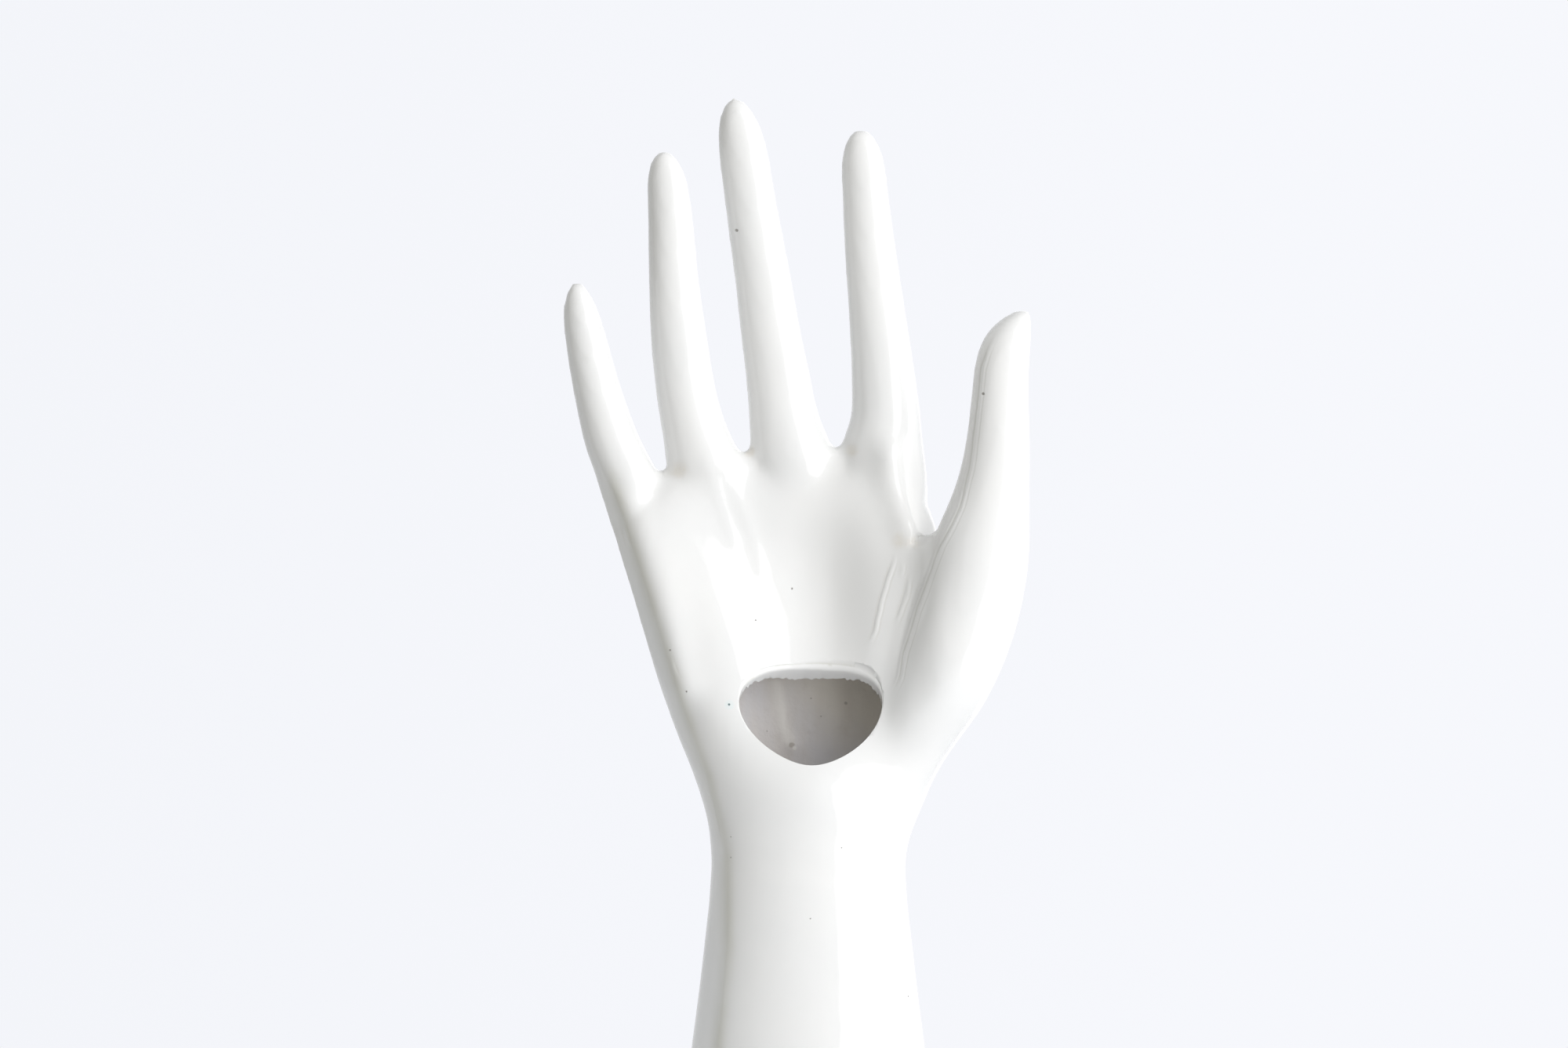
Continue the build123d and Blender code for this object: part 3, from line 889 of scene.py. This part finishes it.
def glaze_material():
    """White gloss glaze outside with olive painted shade along the little finger's side, dull stained
    glaze inside with painted light on its warm side and painted shade and a painted highlight on its
    drip, and bare clay under the foot.
    """
    n = Nodes("white_glaze")
    place = n.add("ShaderNodeTexCoord").outputs["Object"]
    parts = n.add("ShaderNodeSeparateXYZ")
    n.join(place, parts.inputs[0])
    side, _, height = parts.outputs
    inner = n.ramp(n.stored("inside"), 0.35, 0.65)
    front = n.stored("front")
    outer_front = n.times(front, n.math("SUBTRACT", 1.0, inner))
    fine = n.noise(place, 260, 4, 0.6)
    waver = n.math("SUBTRACT", n.noise(place, 190, 1), 0.5)

    # Places of the front view, shaken a little so that spots aren't round
    front_view = n.add("ShaderNodeCombineXYZ")
    n.join(side, front_view.inputs[0])
    n.join(height, front_view.inputs[2])
    ripple = n.add("ShaderNodeTexNoise")
    n.join(front_view.outputs[0], ripple.inputs["Vector"])
    ripple.inputs["Scale"].default_value = 900
    jitter = n.add("ShaderNodeVectorMath", operation="MULTIPLY_ADD")
    n.join(ripple.outputs["Color"], jitter.inputs[0])
    jitter.inputs[1].default_value = (0.4 * MM, 0, 0.4 * MM)
    jitter.inputs[2].default_value = (-0.2 * MM, 0, -0.2 * MM)
    shaken = n.add("ShaderNodeVectorMath", operation="ADD")
    n.join(front_view.outputs[0], shaken.inputs[0])
    n.join(jitter.outputs[0], shaken.inputs[1])
    flat = shaken.outputs[0]

    # Clouds, pools in the creases, and olive painted shade along the seam of the little finger's side,
    # where that side turns away from the light
    colour = n.mix(n.ramp(n.noise(place, 38, 3), 0.35, 0.7), GLAZE_WHITE, GLAZE_CLOUD)
    pool = n.times(n.ramp(n.stored("pool"), 0.1, 1.2), n.ramp(fine, 0.25, 0.7, 0.35, 0.8))
    colour = n.mix(pool, colour, POOL_TAN)
    patches = n.ramp(n.noise(place, 60, 2), 0.3, 0.6, 0.35, 0.6)
    colour = n.tinted(colour, n.times(n.stored("side_painted_shade"), patches), front, SIDE_PAINTED_SHADE)

    # Runs of glaze and the double line of the thumb's seam
    run_on, beside = 0.0, 0.0
    for number in range(len(GLAZE_RUNS)):
        gap = n.math("ADD", n.stored("glaze_run_%d" % number), n.times(waver, 0.7))
        gap = n.math("ABSOLUTE", gap)
        near = n.times(n.stored("glaze_run_near_%d" % number), outer_front)
        run_on = n.math("MAXIMUM", run_on, n.times(n.ramp(gap, 0.1, 0.8, 1.0, 0.0), near))
        beside = n.math("MAXIMUM", beside, n.times(n.near(gap, 0.9, 0.0, 0.4), near))
    colour = n.tinted(colour, run_on, 0.3, RUN_PALE)
    colour = n.tinted(colour, beside, 0.2, RUN_EDGE)
    straight_seam = n.stored("thumb_seam")
    seam = n.math("ADD", straight_seam, n.times(waver, 0.5))
    seam_near = n.times(n.stored("thumb_seam_near"), outer_front)
    lines = n.math("MAXIMUM", n.near(seam, -0.05, 0.05, 0.32), n.near(seam, 1.25, 0.0, 0.25, 0.7))
    colour = n.tinted(colour, n.times(lines, seam_near), 0.4, SEAM_GREY)

    # Specks
    specks = n.times(n.spots(flat, SPECKS), outer_front)
    colour = n.tinted(colour, specks, 0.7, SPECK_DARK)
    halo = n.spots(flat, [(*BLUE_SPECK[:2], BLUE_HALO_RADIUS)])
    colour = n.tinted(colour, n.times(halo, outer_front), 0.16, HALO_BLUE)
    colour = n.tinted(colour, n.times(n.spots(flat, [BLUE_SPECK]), outer_front), 0.85, SPECK_BLUE)

    # Hollow: cool towards the bottom left and warm towards the top right, where the warm colour is
    # painted lighter as painted light, stained, with its streak, and its drip drawn with painted shade
    # and a painted highlight
    slant = n.math("ADD", n.times(side, 26.0), n.times(height, 30.0))
    slant = n.math("ADD", slant, n.times(n.noise(place, 90, 3), 0.35))
    # Painted light: the hollow's warm side on the right and higher up is painted nearly white, standing
    # in for light that falls short on that wall
    hollow_colour = n.mix(n.ramp(slant, 4.35, 5.0), HOLLOW_COOL, HOLLOW_WARM_PAINTED_LIGHT)
    tan = n.ramp(n.noise(place, 60, 3, 0.6, (1, 1, 0.25)), 0.42, 0.66)
    hollow_colour = n.tinted(hollow_colour, tan, 0.5, HOLLOW_TAN)
    hollow_colour = n.tinted(hollow_colour, n.ramp(fine, 0.55, 0.8), 0.2, HOLLOW_DIRT)
    hollow_colour = n.tinted(hollow_colour, n.stored("streak"), 0.75, STREAK_PALE)
    hollow_colour = n.tinted(hollow_colour, n.spots(flat, INSIDE_SPECKS), 0.42, HOLLOW_SPECK)
    drip_side, drip_height = INNER_DRIP
    # Painted shade on the drip's upper left rim and a painted highlight on its lower right, as the
    # raised drip would be lit from the right
    drip_painted_shade = n.spots(flat, [(drip_side - 0.4, drip_height + 0.3, 0.8)])
    hollow_colour = n.tinted(hollow_colour, drip_painted_shade, 0.5, DRIP_PAINTED_SHADE)
    drip_painted_highlight = n.spots(flat, [(drip_side + 0.3, drip_height - 0.5, 0.6)])
    hollow_colour = n.tinted(hollow_colour, drip_painted_highlight, 0.8, DRIP_PAINTED_HIGHLIGHT)
    colour = n.mix(inner, colour, hollow_colour)

    # Bare clay at the rim of the foot
    bare = n.ramp(height, 0.3 * MM, 0.9 * MM, 1.0, 0.0)
    grit = n.noise(place, 1400, 3, 0.65)
    clay = n.mix(n.ramp(grit, 0.3, 0.7), CLAY_DARK, CLAY_PALE)
    colour = n.mix(bare, colour, clay)

    rough = n.ramp(fine, 0.3, 0.8, 0.035, 0.06)
    for share, least in ((inner, 0.42), (specks, 0.35), (bare, 0.78)):
        rough = n.math("MAXIMUM", rough, n.times(share, least))

    # Relief in millimetres: long waves, fine peel, the seam's two beads, runs, specks, crust and grit
    waves = n.times(n.noise(place, 75, 1.0, 0.5, (1, 1, 0.45)), 0.16)
    relief = n.math("ADD", waves, n.times(n.noise(place, 420, 2), 0.006))
    first = n.times(n.near(straight_seam, -0.5, 0.0, 0.55), 0.09)
    second = n.times(n.near(straight_seam, 0.55, 0.0, 0.6), 0.06)
    beads = n.times(n.math("ADD", first, second), seam_near)
    crust = n.times(n.times(inner, n.noise(place, 300, 4, 0.6)), 0.22)
    grains = n.times(n.times(bare, grit), 0.12)
    for part in (beads, n.times(run_on, 0.14), n.times(specks, -0.18), crust, grains):
        relief = n.math("ADD", relief, part)
    n.shader(colour, rough, relief).inputs["IOR"].default_value = GLAZE_IOR
    return n.material


def bisque_material():
    """Bare fired clay of the base: warm grey, gritty, with darker iron specks and turned rings."""
    n = Nodes("bare_clay")
    place = n.add("ShaderNodeTexCoord").outputs["Object"]
    grit = n.noise(place, 1100, 4, 0.65)
    colour = n.mix(n.ramp(n.noise(place, 55, 3), 0.35, 0.7), CLAY_GREY, CLAY_DARK)
    colour = n.mix(n.ramp(grit, 0.35, 0.75), colour, CLAY_GRIT)
    iron = n.ramp(n.noise(place, 700, 1), 0.70, 0.76)
    colour = n.tinted(colour, iron, 0.6, CLAY_IRON)
    rings = n.add("ShaderNodeTexWave", wave_type="RINGS", rings_direction="Z")
    n.join(place, rings.inputs["Vector"])
    rings.inputs["Scale"].default_value = 140
    rings.inputs["Distortion"].default_value = 1.2
    relief = n.math("ADD", n.times(grit, 0.1), n.times(rings.outputs["Fac"], 0.03))
    n.shader(colour, n.ramp(grit, 0.2, 0.8, 0.7, 0.88), relief)
    return n.material


glaze = glaze_material()
skin_mesh.materials.clear()
skin_mesh.materials.append(glaze)

base = frame["nodes"]["base_disc"]
base.data.materials.clear()
base.data.materials.append(bisque_material())

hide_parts(*skin_nodes)
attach(skin, "root")


# Stage

def disc_mesh(name, radius, rings, spokes):
    """A flat disc of even quads round a fan."""
    places, faces = [(0, 0, 0)], []
    for ring in range(1, rings + 1):
        for spoke in range(spokes):
            turn = 2 * math.pi * spoke / spokes
            reach = radius * ring / rings
            places.append((reach * math.cos(turn), reach * math.sin(turn), 0))
    for spoke in range(spokes):
        after = (spoke + 1) % spokes
        faces.append((0, 1 + spoke, 1 + after))
        for ring in range(rings - 1):
            low, high = 1 + ring * spokes, 1 + (ring + 1) * spokes
            faces.append((low + spoke, high + spoke, high + after, low + after))
    mesh = bpy.data.meshes.new(name)
    mesh.from_pydata(places, [], faces)
    mesh.update()
    return mesh


FLOOR_RADIUS = 0.46
FLOOR_SOLID = 0.20
FLOOR_EDGE = 0.02
FLOOR_DROP = 0.2 * MM
FLOOR_COLOUR = (0.86, 0.87, 0.89)
BACKGROUND_LEFT = (0.900, 0.913, 0.953)
BACKGROUND_RIGHT = (0.925, 0.936, 0.975)

# Room as it lights the object: turns in degrees from the camera towards +X, and colours
ROOM_LIGHT = [
    (-180, (0.92, 0.93, 0.94)), (-112, (0.92, 0.93, 0.94)), (-110, (0.118, 0.112, 0.086)),
    (-35, (0.18, 0.176, 0.155)), (24, (0.44, 0.44, 0.435)), (27, (0.64, 0.64, 0.65)),
    (112, (0.60, 0.605, 0.61)), (130, (0.52, 0.525, 0.535)), (180, (0.80, 0.81, 0.82)),
]
LIGHT_CEILING = (0.44, 0.445, 0.455)
LIGHT_STRENGTH = 1.34

# Room as the glaze mirrors it, with the window side brighter
ROOM_MIRRORED = [
    (-180, (0.30, 0.305, 0.315)), (-102, (0.30, 0.305, 0.315)), (-99, (0.073, 0.071, 0.06)),
    (-30, (0.08, 0.078, 0.07)), (25.5, (0.105, 0.105, 0.105)), (27, (1.0, 1.0, 1.0)),
    (112, (1.0, 1.0, 1.0)), (124, (0.66, 0.665, 0.675)), (165, (0.60, 0.605, 0.615)),
    (180, (0.40, 0.405, 0.415)),
]
MIRRORED_CEILING = (0.155, 0.155, 0.158)
MIRRORED_STRENGTH = 2.6

# Lamp at the window
WINDOW_PLACE = (0.78, -1.25, 0.5)
WINDOW_TARGET = (0, 0, 0.19)
WINDOW_WIDTH = 1.24
WINDOW_HEIGHT = 2.2
WINDOW_RADIANCE = 2.35


def floor_material():
    """Pale floor that fades out into the background away from the object."""
    material = bpy.data.materials.new("pale_floor")
    material.use_nodes = True
    tree = material.node_tree
    tree.nodes.clear()
    link = tree.links.new
    out = node(tree, "ShaderNodeOutputMaterial", (900, 0))
    mix = node(tree, "ShaderNodeMixShader", (700, 0))
    clear = node(tree, "ShaderNodeBsdfTransparent", (500, 100))
    paint = node(tree, "ShaderNodeBsdfDiffuse", (500, -100))
    paint.inputs["Color"].default_value = (*FLOOR_COLOUR, 1)
    where = node(tree, "ShaderNodeTexCoord", (-100, 0))
    length = node(tree, "ShaderNodeVectorMath", (100, 0), operation="LENGTH")
    fade = node(tree, "ShaderNodeMapRange", (300, 0), interpolation_type="SMOOTHSTEP")
    fade.inputs["From Min"].default_value = FLOOR_SOLID
    fade.inputs["From Max"].default_value = FLOOR_RADIUS - FLOOR_EDGE
    fade.inputs["To Min"].default_value = 1
    fade.inputs["To Max"].default_value = 0
    link(where.outputs["Object"], length.inputs[0])
    link(length.outputs["Value"], fade.inputs["Value"])
    link(fade.outputs["Result"], mix.inputs["Fac"])
    link(clear.outputs[0], mix.inputs[1])
    link(paint.outputs[0], mix.inputs[2])
    link(mix.outputs[0], out.inputs["Surface"])
    return material


floor = bpy.data.objects.new("floor", disc_mesh("floor", FLOOR_RADIUS, 6, 96))
bpy.context.scene.collection.objects.link(floor)
floor.location = (0, 0, -FLOOR_DROP)
floor.data.materials.append(floor_material())


def make_world():
    """A bright backdrop behind, a dim room in front on the left, and the window side on the right."""
    world = bpy.data.worlds.new("studio")
    bpy.context.scene.world = world
    world.use_nodes = True
    tree = world.node_tree
    tree.nodes.clear()
    link = tree.links.new
    out = node(tree, "ShaderNodeOutputWorld", (1500, 0))
    where = node(tree, "ShaderNodeTexCoord", (-600, 0))
    split = node(tree, "ShaderNodeSeparateXYZ", (-400, 0))
    link(where.outputs["Generated"], split.inputs[0])
    flip = node(tree, "ShaderNodeMath", (-200, -100), operation="MULTIPLY")
    flip.inputs[1].default_value = -1
    link(split.outputs["Y"], flip.inputs[0])
    angle = node(tree, "ShaderNodeMath", (0, 0), operation="ARCTAN2")
    link(split.outputs["X"], angle.inputs[0])
    link(flip.outputs[0], angle.inputs[1])
    turn = node(tree, "ShaderNodeMapRange", (200, 0))
    turn.inputs["From Min"].default_value = -math.pi
    turn.inputs["From Max"].default_value = math.pi
    link(angle.outputs[0], turn.inputs["Value"])

    def surroundings(stops, ceiling, strength, low, high, top):
        """Colours round the horizon that pass over into the ceiling, as a background shader."""
        around = node(tree, "ShaderNodeValToRGB", (400, top))
        link(turn.outputs["Result"], around.inputs["Fac"])
        elements = around.color_ramp.elements
        while len(elements) < len(stops):
            elements.new(0.5)
        for element, (degrees, _) in zip(elements, stops):
            element.position = (degrees + 180) / 360
        for element, (_, colour) in zip(elements, stops):
            element.color = (*colour, 1)
        above = node(tree, "ShaderNodeMapRange", (400, top - 300), interpolation_type="SMOOTHSTEP")
        above.inputs["From Min"].default_value = low
        above.inputs["From Max"].default_value = high
        link(split.outputs["Z"], above.inputs["Value"])
        high_mix = node(tree, "ShaderNodeMix", (700, top), data_type="RGBA")
        link(above.outputs["Result"], high_mix.inputs[0])
        link(around.outputs["Color"], high_mix.inputs[6])
        high_mix.inputs[7].default_value = (*ceiling, 1)
        room = node(tree, "ShaderNodeBackground", (900, top))
        link(high_mix.outputs[2], room.inputs["Color"])
        room.inputs["Strength"].default_value = strength
        return room.outputs[0]

    lit = surroundings(ROOM_LIGHT, LIGHT_CEILING, LIGHT_STRENGTH, 0.45, 0.95, 0)
    mirrored = surroundings(ROOM_MIRRORED, MIRRORED_CEILING, MIRRORED_STRENGTH, 0.62, 0.70, -800)
    back = node(tree, "ShaderNodeBackground", (900, 700))
    across = node(tree, "ShaderNodeMapRange", (500, 700))
    across.inputs["From Min"].default_value = -0.2
    across.inputs["From Max"].default_value = 0.12
    link(split.outputs["X"], across.inputs["Value"])
    paper = node(tree, "ShaderNodeMix", (700, 700), data_type="RGBA")
    link(across.outputs["Result"], paper.inputs[0])
    paper.inputs[6].default_value = (*BACKGROUND_LEFT, 1)
    paper.inputs[7].default_value = (*BACKGROUND_RIGHT, 1)
    link(paper.outputs[2], back.inputs["Color"])
    path = node(tree, "ShaderNodeLightPath", (700, 400))
    seen = node(tree, "ShaderNodeMath", (900, 400), operation="MAXIMUM")
    link(path.outputs["Is Camera Ray"], seen.inputs[0])
    link(path.outputs["Is Transmission Ray"], seen.inputs[1])
    gloss = node(tree, "ShaderNodeMixShader", (1100, 0))
    link(path.outputs["Is Glossy Ray"], gloss.inputs["Fac"])
    link(lit, gloss.inputs[1])
    link(mirrored, gloss.inputs[2])
    mix = node(tree, "ShaderNodeMixShader", (1300, 0))
    link(seen.outputs[0], mix.inputs["Fac"])
    link(gloss.outputs[0], mix.inputs[1])
    link(back.outputs[0], mix.inputs[2])
    link(mix.outputs[0], out.inputs["Surface"])


make_world()


def softbox(name, place, target, width, height, radiance):
    """A rectangular lamp of an even brightness."""
    lamp = bpy.data.lights.new(name, "AREA")
    lamp.shape = "RECTANGLE"
    lamp.size = width
    lamp.size_y = height
    lamp.energy = radiance * math.pi * width * height
    body = bpy.data.objects.new(name, lamp)
    bpy.context.scene.collection.objects.link(body)
    body.location = place
    direction = Vector(target) - Vector(place)
    body.rotation_euler = direction.to_track_quat("-Z", "Y").to_euler()
    return body


window = softbox("window", WINDOW_PLACE, WINDOW_TARGET, WINDOW_WIDTH, WINDOW_HEIGHT, WINDOW_RADIANCE)
window.visible_glossy = False


# Camera

camera_data = bpy.data.cameras.new("camera")
camera_data.lens = CAMERA_LENS
camera_data.sensor_width = CAMERA_SENSOR
camera = bpy.data.objects.new("camera", camera_data)
bpy.context.scene.collection.objects.link(camera)
camera.location = CAMERA_PLACE
camera.rotation_euler = (math.pi / 2, 0, 0)
bpy.context.scene.camera = camera
bpy.context.scene.view_settings.view_transform = "Standard"
